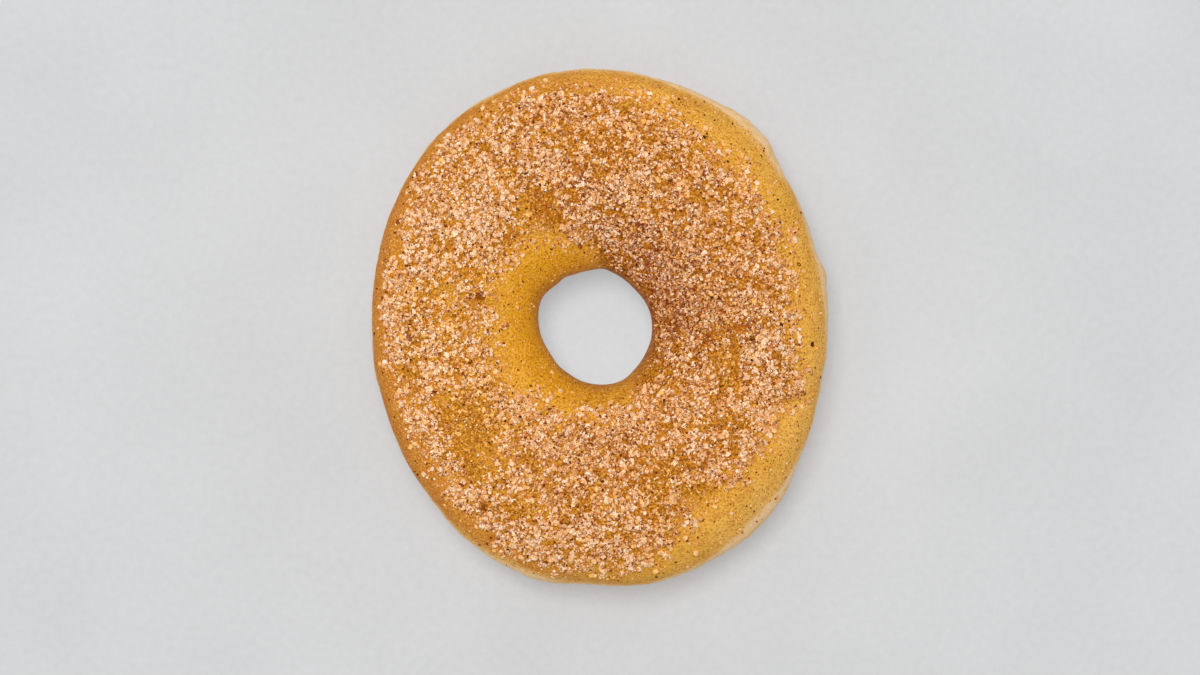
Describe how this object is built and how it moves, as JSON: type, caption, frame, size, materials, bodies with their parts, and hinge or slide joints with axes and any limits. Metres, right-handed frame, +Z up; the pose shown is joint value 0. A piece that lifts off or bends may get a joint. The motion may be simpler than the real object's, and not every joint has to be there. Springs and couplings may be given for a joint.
{
  "type": "apple cinnamon doughnut",
  "caption": "Oval yeast-raised ring doughnut with a centre hole, golden fried crust, a pale waist line and cinnamon sugar on top.",
  "frame": {"origin": "centre of the bounding box in plan, on the plane that the doughnut rests on", "axes": "+Z up through the hole, +Y along the oval ring's long way, +X across it"},
  "size_m": [0.0894, 0.1012, 0.0302],
  "materials": {
    "sugared_crust": "golden-brown fried dough under pale cinnamon sugar crystals"
  },
  "bodies": {
    "root": {"doughnut": "sugared_crust"}
  },
  "joints": []
}
